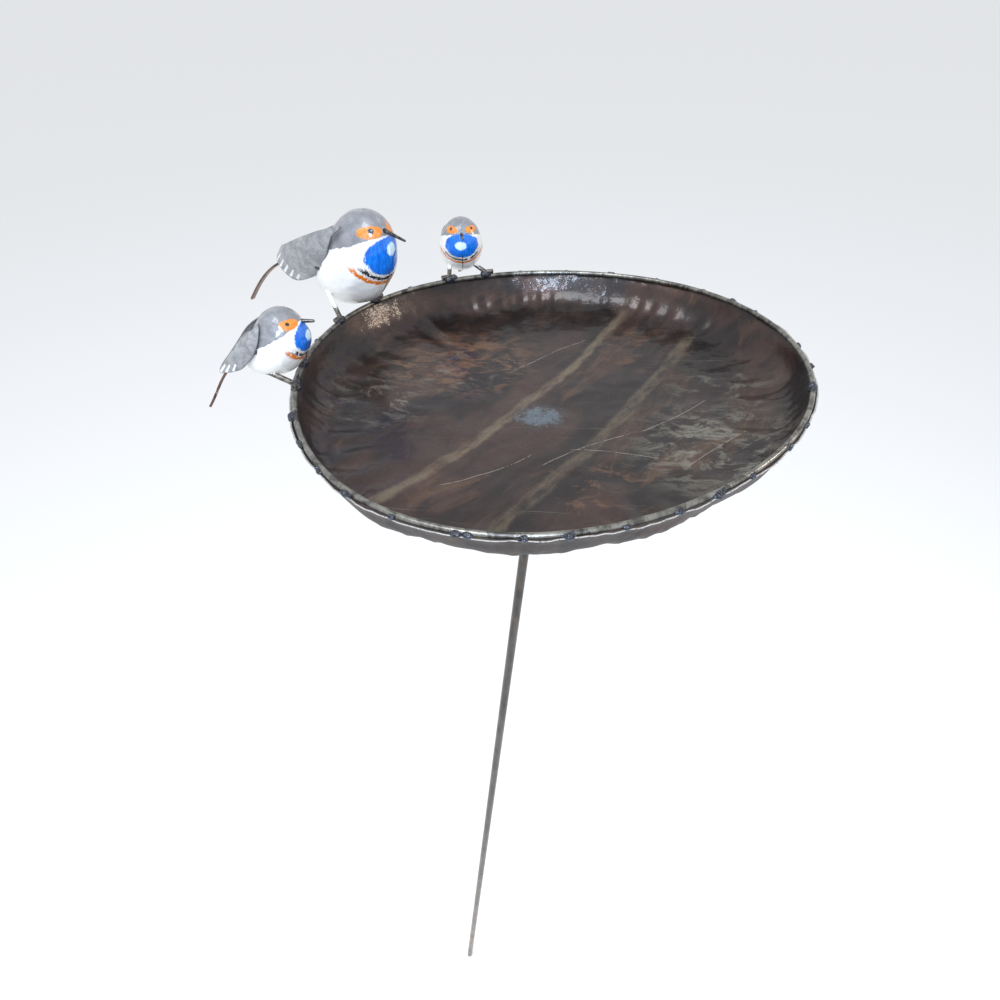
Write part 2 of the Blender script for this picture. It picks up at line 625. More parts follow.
@dataclass(frozen=True)
class BirdPaint:
    """Hand paint of a bird's body, laid out in small-bird millimetres as forward, side and up.

    Args:
        throat: The blue throat.
        spot: The pale spot on it.
        eye: Place of the eye; the other side has its twin.
        cheek: The orange patch round the eye.
        border: Height of the grey above the middle of the side, and its slope.
        bands: Distances of the black strokes and the orange band from the throat's middle, in throat sizes.
        seam: How dark the seam down the breast is.
    """

    throat: Patch
    spot: Patch
    eye: Triple
    cheek: Patch
    border: Pair
    bands: Pair
    seam: float = 0.7
    grey: Colour = (0.165, 0.168, 0.180)
    white: Colour = (0.80, 0.79, 0.77)
    cream: Colour = (0.60, 0.56, 0.49)
    blue: Colour = (0.0, 0.205, 0.78)
    deep_blue: Colour = (0.0, 0.105, 0.55)
    pale_blue: Colour = (0.62, 0.80, 0.93)
    orange: Colour = (0.66, 0.170, 0.012)
    black: Colour = (0.012, 0.012, 0.016)

    def make(self, name: str) -> bpy.types.Material:
        """Args: material name. Returns: the material."""
        s = Shader(name)
        here = s.attribute("bird")
        forward, side, up = s.split(here)
        wide = s.math("ABSOLUTE", side)
        brush = s.math("SUBTRACT", s.cloud(here, 0.55, 5, 0.7), 0.5)
        coarse = s.math("SUBTRACT", s.cloud(here, 0.26, 3, 0.6), 0.5)
        hair = s.math("SUBTRACT", s.cloud(s.moved(here, scale=(1.0, 2.8, 0.45)), 1.0, 4, 0.65), 0.5)
        soft = s.cloud(here, 0.16, 4, 0.6)
        grey = s.mix(s.step(soft, 0.35, 0.7), self.grey, tuple(v * 1.5 for v in self.grey))
        grey = s.mix(s.both(s.step(s.cells(here, 0.5), 0.13, 0.05), 0.7), grey, (0.03, 0.03, 0.035))
        low = s.step(up, 17.0, 3.0)
        white = s.mix(s.both(low, 0.7), self.white, self.cream)
        white = s.mix(s.both(s.step(soft, 0.5, 0.75), 0.3), white, self.cream)
        edge = s.math("MULTIPLY_ADD", s.math("ADD", forward, 9.5), self.border[1], self.border[0])
        above = s.math("ADD", s.math("SUBTRACT", up, edge),
                       s.math("MULTIPLY_ADD", coarse, 2.6, s.math("MULTIPLY", brush, 1.4)))
        colour = s.mix(s.step(above, -0.35, 0.35), white, grey)
        front = s.step(s.math("MULTIPLY_ADD", brush, 3.0, forward), -6.5, -4.5)
        drop = s.math("ADD", up, -self.throat.centre[2])
        ring = self.throat.away(s, forward, side, up)
        ring = s.math("MULTIPLY_ADD", coarse, 0.22, ring)
        drawn = s.math("MULTIPLY_ADD", hair, 0.42, ring)
        below = s.step(drop, -2.5, -6.0)
        orange_band = self.band(s, s.math("MULTIPLY_ADD", hair, 0.22, ring), self.bands[1], 0.10, 0.035)
        orange_band = s.both(orange_band, s.both(below, front))
        gaps = s.step(s.cloud(here, 0.4, 4, 0.6), 0.34, 0.44)
        colour = s.mix(s.both(orange_band, gaps), colour, self.orange)
        black_band = s.both(self.band(s, drawn, self.bands[0], 0.10, 0.03),
                            s.both(s.step(drop, -3.0, -6.0), front))
        colour = s.mix(s.both(black_band, s.step(coarse, -0.11, -0.04)), colour, self.black)
        fringe = s.both(s.step(s.math("MULTIPLY_ADD", hair, 0.2, drawn), 1.17, 1.10),
                        s.both(s.step(drop, -2.0, -5.0), front))
        colour = s.mix(s.both(fringe, 0.96), colour, self.white)
        under_beak = s.step(s.math("MULTIPLY_ADD", brush, 1.8, up), 38.9, 38.0)
        blue_mask = s.both(s.step(s.math("MULTIPLY_ADD", hair, 0.24, ring), 1.02, 0.97),
                           s.both(front, under_beak))
        blue = s.mix(s.step(s.cloud(s.moved(here, scale=(1, 3, 0.6)), 0.35, 4, 0.6), 0.36, 0.66),
                     self.deep_blue, self.blue)
        colour = s.mix(blue_mask, colour, blue)
        spot = s.math("MULTIPLY_ADD", hair, 0.9, self.spot.away(s, forward, side, up))
        colour = s.mix(s.both(s.step(spot, 1.12, 0.82), front), colour, self.pale_blue)
        colour = self.face(s, here, forward, wide, up, brush, colour)
        gloss = s.math("MULTIPLY_ADD", soft, 0.14, 0.15)
        strokes = s.math("ADD", s.math("MULTIPLY", hair, 0.55), s.math("MULTIPLY", blue_mask, 0.45))
        strokes = s.math("ADD", strokes, s.math("MULTIPLY", s.cloud(here, 0.09, 2, 0.5), 2.2))
        groove = s.step(s.math("MULTIPLY_ADD", brush, 0.7, wide), 0.75, 0.25)
        breast = s.both(groove, s.both(s.step(up, 22.5, 20.5), self.seam))
        colour = s.mix(breast, colour, (0.035, 0.030, 0.028))
        return s.finish(Base_Color=colour, Roughness=gloss, Normal=s.bump(strokes, 0.0005, 0.8),
                        Coat_Weight=0.6,
                        Coat_Roughness=0.06, Specular_IOR_Level=0.5)

    def band(self, s: Shader, value: Value, middle: float, half: float, blur: float) -> bpy.types.NodeSocket:
        """Args: a value, the band's middle, half width and blur. Returns: its mask."""
        away = s.math("ABSOLUTE", s.math("ADD", value, -middle))
        return s.step(away, half + blur, half - blur)

    def face(self, s: Shader, here: Value, forward: Value, wide: Value, up: Value, brush: Value,
             colour: Value) -> bpy.types.NodeSocket:
        """Args: nodes so far. Returns: the colour with the orange cheeks and the eyes."""
        patch = s.math("MULTIPLY_ADD", brush, 0.5, self.cheek.away(s, forward, wide, up))
        off_middle = s.step(wide, 1.2, 2.2)
        tint = s.mix(s.step(s.cloud(here, 0.5, 4, 0.7), 0.4, 0.7), self.orange, (0.74, 0.29, 0.035))
        tint = s.mix(s.both(s.step(brush, 0.12, 0.2), 0.5), tint, (0.10, 0.05, 0.03))
        colour = s.mix(s.both(s.step(patch, 1.05, 0.93), off_middle), colour, tint)
        ball = Patch(self.eye, (1.0, 1.0, 1.0)).away(s, forward, wide, up)
        colour = s.mix(s.step(ball, 1.65, 1.4), colour, self.black)
        lit = (self.eye[0] + 0.4, self.eye[1] - 0.2, self.eye[2] + 0.6)
        gleam = Patch(lit, (1.0, 1.0, 1.0)).away(s, forward, wide, up)
        return s.mix(s.both(s.step(gleam, 0.6, 0.3), 0.8), colour, (0.30, 0.42, 0.62))


@dataclass(frozen=True)
class WingPaint:
    """Grey hand paint with white feather strokes at the wing's free end.

    Args:
        strokes: Each stroke as start along the wing, end along the wing, start height and end height.
    """

    strokes: Tuple[Tuple[float, float, float, float], ...]
    grey: Colour = (0.170, 0.170, 0.175)
    light: Colour = (0.30, 0.30, 0.305)
    white: Colour = (0.72, 0.72, 0.70)

    def make(self, name: str) -> bpy.types.Material:
        """Args: material name. Returns: the material."""
        s = Shader(name)
        here = s.attribute("bird")
        along, height, _ = s.split(s.attribute("wing"))
        soft = s.cloud(here, 0.17, 6, 0.66, 0.6)
        hair = s.cloud(s.moved(s.attribute("wing"), scale=(0.35, 1.6, 1)), 0.8, 5, 0.65)
        colour = s.mix(s.step(soft, 0.35, 0.68), self.grey, self.light)
        colour = s.mix(s.both(s.step(hair, 0.5, 0.7), 0.45), colour, (0.075, 0.075, 0.08))
        colour = s.mix(s.both(s.step(s.cells(here, 0.42), 0.15, 0.05), 0.75), colour, (0.025, 0.022, 0.022))
        brush = s.math("SUBTRACT", s.cloud(here, 0.7, 4, 0.7), 0.5)
        for start, end, first, last in self.strokes:
            t = s.math("MULTIPLY", s.math("ADD", along, -start), 1 / (end - start))
            line = s.math("MULTIPLY_ADD", t, last - first, first)
            apart = s.math("ABSOLUTE",
                           s.math("ADD", s.math("SUBTRACT", height, line), s.math("MULTIPLY", brush, 0.5)))
            width = s.math("MULTIPLY_ADD", t, 0.35, 0.40)
            inside = s.step(s.math("SUBTRACT", apart, width), 0.16, -0.12)
            ends = s.both(s.step(t, 0.0, 0.12), s.step(t, 1.02, 0.95))
            colour = s.mix(s.both(s.both(inside, ends), 0.88), colour, self.white)
        _, _, rim = s.split(s.attribute("wing"))
        colour = s.mix(s.both(rim, 0.6), colour, (0.04, 0.04, 0.042))
        relief = s.math("ADD", s.math("MULTIPLY", soft, 1.2), s.math("MULTIPLY", hair, 0.5))
        return s.finish(Base_Color=colour, Roughness=s.math("MULTIPLY_ADD", hair, 0.2, 0.24),
                        Normal=s.bump(relief, 0.0006, 0.7),
                        Coat_Weight=0.35, Coat_Roughness=0.12)


@dataclass(frozen=True)
class LegPaint:
    """White paint on the upper part of a leg over dark bare bar.

    Args:
        level: Height in metres where the paint stops.
    """

    level: float

    def make(self, name: str) -> bpy.types.Material:
        """Args: material name. Returns: the material."""
        s = Shader(name)
        here = s.place_mm()
        height = s.math("MULTIPLY", s.math("ADD", s.split(s.place())[2], -self.level), TO_MM)
        brush = s.math("MULTIPLY",
                       s.math("SUBTRACT", s.cloud(s.moved(here, scale=(1, 1, 0.3)), 0.9, 4, 0.7), 0.5), 5.0)
        painted = s.step(s.math("ADD", height, brush), -0.4, 0.4)
        scale = s.cloud(here, 0.5, 6, 0.7)
        bare = s.mix(s.step(scale, 0.42, 0.6), (0.035, 0.03, 0.028), (0.20, 0.175, 0.15))
        colour = s.mix(painted, bare, (0.72, 0.71, 0.68))
        chips = s.step(s.cells(here, 0.5), 0.16, 0.06)
        colour = s.mix(s.both(chips, 0.7), colour, (0.06, 0.05, 0.045))
        metal = s.math("MULTIPLY_ADD", painted, -0.7, 0.7)
        rough = s.math("MULTIPLY_ADD", scale, 0.3, 0.2)
        return s.finish(Base_Color=colour, Metallic=metal, Roughness=rough, Normal=s.bump(scale, 0.0006, 0.7),
                        Coat_Weight=0.4,
                        Coat_Roughness=0.1)


@dataclass(frozen=True)
class FloorPaint:
    """Matt pale studio floor."""

    colour: Colour = (0.93, 0.93, 0.93)

    def make(self, name: str) -> bpy.types.Material:
        """Args: material name. Returns: the material."""
        s = Shader(name)
        faint = s.cloud(s.place(), 0.6, 2, 0.5)
        colour = s.mix(s.both(faint, 0.05), self.colour, (0.88, 0.88, 0.88))
        return s.finish(Base_Color=colour, Roughness=1.0, Specular_IOR_Level=0.0)


# ---------------------------------------------------------------- what repeats or follows a path


class NodeShape:
    """A Geometry Nodes tree with named inputs, used once and turned into a plain mesh.

    Args:
        name: Tree name.
        inputs: Input names with their socket kinds.
    """

    def __init__(self, name: str, inputs: Sequence[Tuple[str, str]]) -> None:
        self.tree = bpy.data.node_groups.new(name, "GeometryNodeTree")
        self.tree.interface.new_socket("Geometry", in_out="INPUT", socket_type="NodeSocketGeometry")
        for label, kind in inputs:
            self.tree.interface.new_socket(label, in_out="INPUT", socket_type=kind)
        self.tree.interface.new_socket("Geometry", in_out="OUTPUT", socket_type="NodeSocketGeometry")
        self.source = self.tree.nodes.new("NodeGroupInput")
        self.sink = self.tree.nodes.new("NodeGroupOutput")

    def add(self, kind: str, inputs: Dict[Union[str, int], Value], output: Union[str, int] = 0,
            **settings: object) -> bpy.types.NodeSocket:
        """Args: node kind, its inputs, the output wanted and its settings. Returns: that output."""
        node = self.tree.nodes.new(kind)
        for key, value in settings.items():
            setattr(node, key, value)
        for key, value in inputs.items():
            if isinstance(value, bpy.types.NodeSocket):
                self.tree.links.new(value, node.inputs[key])
            else:
                node.inputs[key].default_value = value
        return node.outputs[output]

    def vector(self, name: str) -> bpy.types.NodeSocket:
        """Args: name of a point attribute. Returns: its vector."""
        return self.add("GeometryNodeInputNamedAttribute", {"Name": name}, "Attribute",
                        data_type="FLOAT_VECTOR")

    def lumps(self, geometry: Value) -> bpy.types.NodeSocket:
        """Args: a mesh. Returns: it, pushed in and out by noise of the tree's lump settings."""
        place = self.add("GeometryNodeInputPosition", {})
        seed = self.add("ShaderNodeMath", {0: self.source.outputs["Seed"], 1: 3.7}, operation="MULTIPLY")
        settings = {"Vector": place, "W": seed, "Scale": self.source.outputs["Lump Scale"], "Detail": 2.5}
        fac = self.add("ShaderNodeTexNoise", settings, "Fac", noise_dimensions="4D")
        push = self.add("ShaderNodeMath", {0: fac, 1: 0.5}, operation="SUBTRACT")
        push = self.add("ShaderNodeMath", {0: push, 1: self.source.outputs["Lump Height"]},
                        operation="MULTIPLY")
        normal = self.add("GeometryNodeInputNormal", {})
        offset = self.add("ShaderNodeVectorMath", {0: normal, "Scale": push}, operation="SCALE")
        return self.add("GeometryNodeSetPosition", {"Geometry": geometry, "Offset": offset})

    def end(self, geometry: Value) -> None:
        """Args: the geometry made. It is realized, given its finish and put out."""
        real = self.add("GeometryNodeRealizeInstances", {"Geometry": geometry})
        smooth = self.add("GeometryNodeSetShadeSmooth", {"Geometry": real})
        done = self.add("GeometryNodeSetMaterial",
                        {"Geometry": smooth, "Material": self.source.outputs["Finish"]})
        self.tree.links.new(done, self.sink.inputs[0])

    def make(self, name: str, seed_object: bpy.types.Object, values: Dict[str, object]) -> bpy.types.Object:
        """Runs the tree on an object and keeps only the mesh.

        Args:
            name: Name of the finished object.
            seed_object: Object whose geometry goes in. It is removed.
            values: Value of each named input.
        Returns:
            A plain mesh object.
        """
        modifier = seed_object.modifiers.new("shape", "NODES")
        modifier.node_group = self.tree
        sockets = {item.name: item.identifier for item in self.tree.interface.items_tree
                   if item.in_out == "INPUT"}
        for label, value in values.items():
            modifier[sockets[label]] = value
        bpy.context.view_layer.update()
        graph = bpy.context.evaluated_depsgraph_get()
        mesh = bpy.data.meshes.new_from_object(seed_object.evaluated_get(graph))
        mesh.name = name
        seed_object.modifiers.remove(modifier)
        bpy.data.objects.remove(seed_object)
        made = bpy.data.objects.new(name, mesh)
        bpy.context.collection.objects.link(made)
        return made


def point_object(name: str, points: Sequence[Vector], chained: bool = False) -> bpy.types.Object:
    """Args: a name, points, and whether they are joined in a line. Returns: an object of those points."""
    mesh = bpy.data.meshes.new(name)
    edges = [(i, i + 1) for i in range(len(points) - 1)] if chained else []
    mesh.from_pydata([tuple(p) for p in points], edges, [])
    made = bpy.data.objects.new(name, mesh)
    bpy.context.collection.objects.link(made)
    return made


@dataclass(frozen=True)
class Bead:
    """One lump of weld metal.

    Args:
        centre: Its place.
        along: Direction it is drawn out in.
        size: Half sizes along, across and upwards.
    """

    centre: Vector
    along: Vector
    size: Triple


class WeldBeads:
    """Lumpy weld beads, each a ball drawn out along the weld and pushed in and out by noise.

    Args:
        finish: Their material.
    """

    def __init__(self, finish: bpy.types.Material) -> None:
        self.finish = finish
        shape = NodeShape("weld_beads",
                          (("Lump Height", "NodeSocketFloat"), ("Lump Scale", "NodeSocketFloat"),
                                         ("Seed", "NodeSocketInt"), ("Finish", "NodeSocketMaterial")))
        ball = shape.add("GeometryNodeMeshIcoSphere", {"Radius": 1.0, "Subdivisions": 4}, "Mesh")
        turn = shape.add("FunctionNodeEulerToRotation", {0: shape.vector("turn")})
        spread = shape.add("GeometryNodeInstanceOnPoints",
                           {"Points": shape.source.outputs["Geometry"], "Instance": ball,
                                                            "Rotation": turn, "Scale": shape.vector("size")})
        real = shape.add("GeometryNodeRealizeInstances", {"Geometry": spread})
        shape.end(shape.lumps(real))
        self.shape = shape

    def make(self, name: str, beads: Sequence[Bead], stands_for: Sequence[str], seed: int,
             lump_height: float = 0.0016, lump_scale: float = 480.0) -> bpy.types.Object:
        """Args: a name, the beads, CAD nodes they stand for and the noise. Returns: one mesh of all of them."""
        points = point_object(name + "_points", [b.centre for b in beads])
        turns = []
        for bead in beads:
            across = Vector((0, 0, 1)).cross(bead.along).normalized()
            turns.append(Matrix((bead.along, across, bead.along.cross(across))).transposed().to_euler())
        add_attribute(points.data, "size", [b.size for b in beads])
        add_attribute(points.data, "turn", [tuple(t) for t in turns])
        values = {"Lump Height": lump_height, "Lump Scale": lump_scale, "Seed": seed, "Finish": self.finish}
        return settle(self.shape.make(name, points, values), stands_for)


class RoundBar:
    """Round bar along a path, with the slight dents and flats that bending by hand leaves.

    Args:
        sides: Sides of the bar's section.
        lump_height: Height of the dents in metres.
        lump_scale: How close the dents lie.
    """

    def __init__(self, sides: int = 22, lump_height: float = 0.0003, lump_scale: float = 90.0) -> None:
        self.values: Dict[str, object] = {"Sides": sides, "Lump Height": lump_height,
                                          "Lump Scale": lump_scale}
        shape = NodeShape("round_bar", (("Radius", "NodeSocketFloat"), ("Sides", "NodeSocketInt"),
                                        ("Lump Height", "NodeSocketFloat"), ("Lump Scale", "NodeSocketFloat"),
                                        ("Seed", "NodeSocketInt"), ("Finish", "NodeSocketMaterial")))
        source = shape.source.outputs
        path = shape.add("GeometryNodeMeshToCurve", {"Mesh": source["Geometry"]})
        ring = shape.add("GeometryNodeCurvePrimitiveCircle",
                         {"Resolution": source["Sides"], "Radius": source["Radius"]})
        bar = shape.add("GeometryNodeCurveToMesh", {"Curve": path, "Profile Curve": ring, "Fill Caps": True})
        shape.end(shape.lumps(bar))
        self.shape = shape

    def make(self, name: str, path: Sequence[Vector], radius: float, slot: str, stands_for: Sequence[str],
             finish: bpy.types.Material, seed: int) -> bpy.types.Object:
        """Args: a name, path, radius, record slot, its CAD nodes, finish and seed. Returns: the bar."""
        line = point_object(name + "_path", path, chained=True)
        values = {**self.values, "Radius": radius, "Seed": seed, "Finish": finish}
        return settle(self.shape.make(name, line, values), stands_for)


# ---------------------------------------------------------------- dish, hoop and stake


def spline_weights(knots: np.ndarray, samples: np.ndarray) -> np.ndarray:
    """Natural cubic spline as a matrix.

    Args:
        knots: Increasing knot positions.
        samples: Where the curve is wanted.
    Returns:
        Rows that turn values at the knots into values at the samples.
    """
    n = len(knots)
    gap = np.diff(knots)
    left = np.eye(n)
    right = np.zeros((n, n))
    for i in range(1, n - 1):
        left[i, i - 1:i + 2] = gap[i - 1], 2 * (gap[i - 1] + gap[i]), gap[i]
        right[i, i - 1:i + 2] = 6 / gap[i - 1], -6 / gap[i - 1] - 6 / gap[i], 6 / gap[i]
    bend = np.linalg.solve(left, right)
    i = np.clip(np.searchsorted(knots, samples, side="right") - 1, 0, n - 2)
    h = gap[i]
    a = ((knots[i + 1] - samples) / h)[:, None]
    b = ((samples - knots[i]) / h)[:, None]
    unit = np.eye(n)
    bends = (a ** 3 - a) * bend[i] + (b ** 3 - b) * bend[i + 1]
    return a * unit[i] + b * unit[i + 1] + bends * (h ** 2 / 6)[:, None]


@dataclass
class Dish:
    """Beaten bowl with a pleated wall, dented floor and a raw lip drawn in at each tack weld.

    Args:
        wall: Inset from the hoop line and depth below it, from the lip down, in metres.
        floor: Share of the rim radius and depth, inwards.
        sheet: Sheet thickness.
        columns: Points round the rim.
        tacks: Angles of the tack welds in degrees.
        bulges: Angle, reach in degrees and size in metres of outward bulges at the foot of the wall.
        pleats: Depth of the pleats at the foot of the wall.
        creases: Height of the fine creases between them.
        swells: Height of the wall's broad swells.
        scallops: How far the lip swells out between tack welds.
        spokes: Height of the ripples that run from the wall into the floor.
        dents: Scale, height and shift of each layer of hammer dents.
    """

    wall: Tuple[Pair, ...] = ((-0.0020, 0.0008), (0.0002, 0.0050), (0.0030, 0.0110), (0.0065, 0.0170),
                              (0.0120, 0.0225),
                              (0.0210, 0.0255))
    floor: Tuple[Pair, ...] = ((0.74, 0.0275), (0.48, 0.0296), (0.22, 0.0308), (0.12, 0.0310), (0.0, 0.0310))
    sheet: float = 0.001
    columns: int = 480
    wall_rows: int = 44
    floor_rows: int = 34
    tacks: Tuple[float, ...] = (3, 12, 30, 37.5, 46.5, 60, 73, 86.5, 100, 134, 173, 206, 216, 225.5, 234,
                                244.5, 256,
                                258, 267, 274.5, 284.5, 295, 304.5, 314, 328, 337.5)
    bulges: Tuple[Triple, ...] = ((274, 2.2, 0.0016), (238, 5.0, 0.0010), (305, 4.0, 0.0011),
                                  (222, 4.0, 0.0007))
    pleats: float = 0.0012
    creases: float = 0.00040
    swells: float = 0.00085
    scallops: float = 0.0015
    spokes: float = 0.00042
    dents: Tuple[Tuple[float, float, Triple], ...] = ((34.0, 0.0009, (0, 0, 0)), (95.0, 0.00042, (7, 0, 0)))

    def rings(self, angle: np.ndarray) -> Tuple[np.ndarray, np.ndarray]:
        """Args: angles round the rim. Returns: radius and depth of each ring at each angle."""
        rim = RIM.radius_at(angle)
        radius = [rim - inset for inset, _ in self.wall] + [rim * share for share, _ in self.floor]
        depth = [np.full_like(angle, d) for _, d in self.wall + self.floor]
        return np.array(radius), np.array(depth)

    def scallop(self, angle: np.ndarray) -> np.ndarray:
        """Args: angles. Returns: 0 at each tack weld, rising to about 1 between two far apart."""
        marks = np.radians(np.array(self.tacks, float))
        draw = np.random.RandomState(5)
        swell = draw.uniform(0.35, 1.0, len(marks))
        out = np.zeros_like(angle)
        for i, start in enumerate(marks):
            end = marks[(i + 1) % len(marks)] + (2 * math.pi if i + 1 == len(marks) else 0)
            t = ((angle - start) % (2 * math.pi)) / (end - start)
            inside = t < 1
            wide = min(1.0, (end - start) / math.radians(11))
            out[inside] = (np.sin(math.pi * t[inside]) ** 0.75 * swell[i] * wide)
        return out

    def surface(self) -> Tuple[np.ndarray, np.ndarray, np.ndarray]:
        """Returns: inner face as rows x columns x 3, the share of each row down the wall, and the angles."""
        angle = np.linspace(0, 2 * math.pi, self.columns, endpoint=False)
        radius, depth = self.rings(angle)
        steps = np.hypot(np.diff(radius.mean(1)), np.diff(depth.mean(1)))
        knots = np.concatenate([[0], np.cumsum(steps)])
        foot = knots[len(self.wall) - 1]
        lip_rows = np.array([0.0, 0.00035])
        wall_rows = np.linspace(0.001, foot, self.wall_rows)
        floor_rows = np.linspace(foot, knots[-1], self.floor_rows + 1)[1:]
        down = np.concatenate([lip_rows, wall_rows, floor_rows])
        weights = spline_weights(knots, down)
        radius, depth = weights @ radius, weights @ depth
        wall_share = np.clip(down / foot, 0, 1)[:, None]
        across = np.clip((knots[-1] - down) / (knots[-1] - foot), 0, 1)[:, None]
        on_wall = np.sin(math.pi * np.clip(wall_share, 0, 1)) ** 1.2
        foot_band = np.exp(-((down[:, None] - foot * 0.80) / (foot * 0.27)) ** 2)
        pleat = Ripple(3, (26, 64), 9, 2.2)(angle, wall_share)
        crease = Ripple(8, (48, 120), 9, 1.5)(angle, wall_share)
        broad = Ripple(21, (5, 15), 6, 2.5)(angle, wall_share)
        sharp = -np.abs(pleat) ** 0.8 * self.pleats + crease * self.creases
        push = foot_band * sharp * 0.9 + on_wall * broad * self.swells
        for place, reach, size in self.bulges:
            away = (np.degrees(angle) - place + 180) % 360 - 180
            low_on_wall = np.exp(-((down[:, None] - foot * 0.72) / (foot * 0.2)) ** 2)
            push = push + np.exp(-(away / reach) ** 2) * size * low_on_wall
        near_lip = np.exp(-down[:, None] / 0.0035)
        push = push + near_lip * (self.scallop(angle) * self.scallops
                                  + Ripple(31, (30, 90), 8)(angle) * 0.00016)
        ragged = near_lip * (Ripple(44, (8, 30), 6)(angle) * 0.00035
                             + Ripple(45, (60, 150), 8)(angle) * 0.00012)
        past_foot = np.exp(-((down[:, None] - foot * 1.12) / (foot * 0.5)) ** 2)
        radiating = past_foot * Ripple(51, (20, 46), 8, 1.0)(angle, across) * self.spokes
        radius = radius + push * np.minimum(1.0, radius / 0.05)
        sink = radiating * np.minimum(1.0, radius / 0.08)
        grid = RIM.at(angle[None, :], radius, depth + ragged)
        dent = unevenness(grid, *self.dents)
        fade = np.clip((down - 0.004) / 0.02, 0, 1)[:, None] * np.clip(radius / 0.012, 0, 1)
        grid[..., 2] += dent * fade + sink
        grid[-1] = grid[-1].mean(axis=0)
        return grid, down, angle

    def build(self, finish: bpy.types.Material) -> bpy.types.Object:
        """Args: its finish. Returns: the closed sheet, inner and outer faces joined over the lip."""
        inner, down, angle = self.surface()
        normals = grid_normals(inner, loop=True)
        if normals[len(down) // 2, 0, 2] < 0:
            normals = -normals
        normals[-1] = (0, 0, 1)
        outward = np.stack([np.cos(angle), np.sin(angle), np.zeros_like(angle)], axis=-1)
        lip = np.exp(-down / 0.0012)[:, None, None]
        direction = -normals * (1 - lip) + outward[None] * lip
        direction /= np.linalg.norm(direction, axis=-1, keepdims=True)
        outer = inner + direction * self.sheet
        rows, columns = inner.shape[:2]
        ridge = (inner[0] + outer[0]) / 2 + np.array((0, 0, 0.00012))
        points = np.concatenate([inner[:-1].reshape(-1, 3), inner[-1:, 0], outer[:-1].reshape(-1, 3),
                                 outer[-1:, 0], ridge])
        grid_count = (rows - 1) * columns
        under = grid_count + 1
        top = 2 * (grid_count + 1)
        faces = grid_faces(rows - 1, columns, 0, loop=True) + grid_faces(rows - 1, columns, under, loop=True,
                                                                         flip=True)
        for c in range(columns):
            d = (c + 1) % columns
            last = (rows - 2) * columns
            faces += [(last + c, last + d, grid_count),
                      (under + last + d, under + last + c, under + grid_count)]
            faces += [(d, c, top + c, top + d), (under + c, under + d, top + d, top + c)]
        mark = np.zeros((len(points), 3))
        mark[under:top, 0] = 1
        mark[top:] = (0.5, 1, 0)
        for start in (0, under):
            mark[start:start + columns, 1] = 1
        return make_piece("dish_shell", points, outwards(points, faces), ["dish"], finish,
                          {"sheet": mark})


def outwards(points: np.ndarray, faces: List[Tuple[int, ...]]) -> List[Tuple[int, ...]]:
    """Args: a closed mesh. Returns: its faces, turned over if they faced inwards."""
    volume = 0.0
    for face in faces:
        a = points[face[0]]
        for i in range(1, len(face) - 1):
            volume += float(np.dot(a, np.cross(points[face[i]], points[face[i + 1]])))
    return faces if volume > 0 else [face[::-1] for face in faces]


@dataclass
class RimHoop:
    """The bent round bar of the rim, its joint and the tack welds.

    Args:
        joint_gap: Half the gap at the joint in degrees.
        tack_size: Half width of a tack weld in metres.
        big: Angles of the larger tack welds.
        bar: Bar diameter.
        joint: Angle of the butt joint in degrees.
        tacks: Angles of the tack welds in degrees.
        steps: Points along the bar.
    """

    tacks: Tuple[float, ...]
    bar: float = 0.0035
    joint: float = 353.5
    joint_gap: float = 0.1
    steps: int = 400
    big: Tuple[float, ...] = (267, 206, 304.5, 37.5)
    tack_size: float = 0.0021

    def path(self) -> List[Vector]:
        """Returns: centre line of the bar from one side of the joint to the other."""
        turn = 360 - 2 * self.joint_gap
        return [RIM.point(self.joint + self.joint_gap + turn * i / self.steps) for i in range(self.steps + 1)]

    def tack_beads(self) -> List[Bead]:
        """Returns: three or four overlapping lumps for each tack weld."""
        draw = np.random.RandomState(12)
        beads: List[Bead] = []
        for i, angle in enumerate(self.tacks):
            size = self.tack_size * (1 + 0.14 * math.sin(i * 2.4)) * (1.2 if angle in self.big else 1.0)
            for k in range(4):
                shift = 0.0 if k == 0 else float(draw.uniform(-1, 1))
                part = size * (1.0 if k == 0 else float(draw.uniform(0.45, 0.75)))
                inset = -0.0018 - float(draw.uniform(-0.5, 0.5)) * size * (k > 0)
                depth = 0.0003 - float(draw.uniform(-0.1, 0.35)) * size * (k > 0)
                centre = RIM.point(angle + math.degrees(shift * size * 1.25 / RIM.radius), inset, depth)
                beads.append(Bead(centre, RIM.tangent(angle), (part * 1.3, part * 0.92, part * 0.85)))
        return beads

    def joint_beads(self) -> List[Bead]:
        """Returns: the lumps of the butt weld."""
        draw = np.random.RandomState(4)
        beads: List[Bead] = []
        for k in range(6):
            part = 0.0030 if k == 0 else float(draw.uniform(0.0014, 0.0023))
            angle = self.joint + (0 if k == 0 else float(draw.uniform(-0.9, 0.9)))
            inset = float(draw.uniform(-0.0008, 0.0006)) * (k > 0)
            centre = RIM.point(angle, inset, float(draw.uniform(-0.0012, 0.0004)) * (k > 0))
            beads.append(Bead(centre, RIM.tangent(self.joint), (part * 1.35, part, part)))
        return beads

    def build(self, bars: RoundBar, welds: WeldBeads, finish: bpy.types.Material) -> List[bpy.types.Object]:
        """Args: the bar and weld makers and the bar's finish. Returns: hoop, joint weld and tack welds."""
        hoop = bars.make("hoop", self.path(), self.bar / 2, "hoop_bar", ["rim_hoop"], finish, seed=5)
        joint = welds.make("joint_weld", self.joint_beads(), ["hoop_joint_weld"], seed=3)
        tacks = welds.make("tack_welds", self.tack_beads(), ["rim_tack_welds"], seed=9)
        return [hoop, joint, tacks]


# ---------------------------------------------------------------- birds


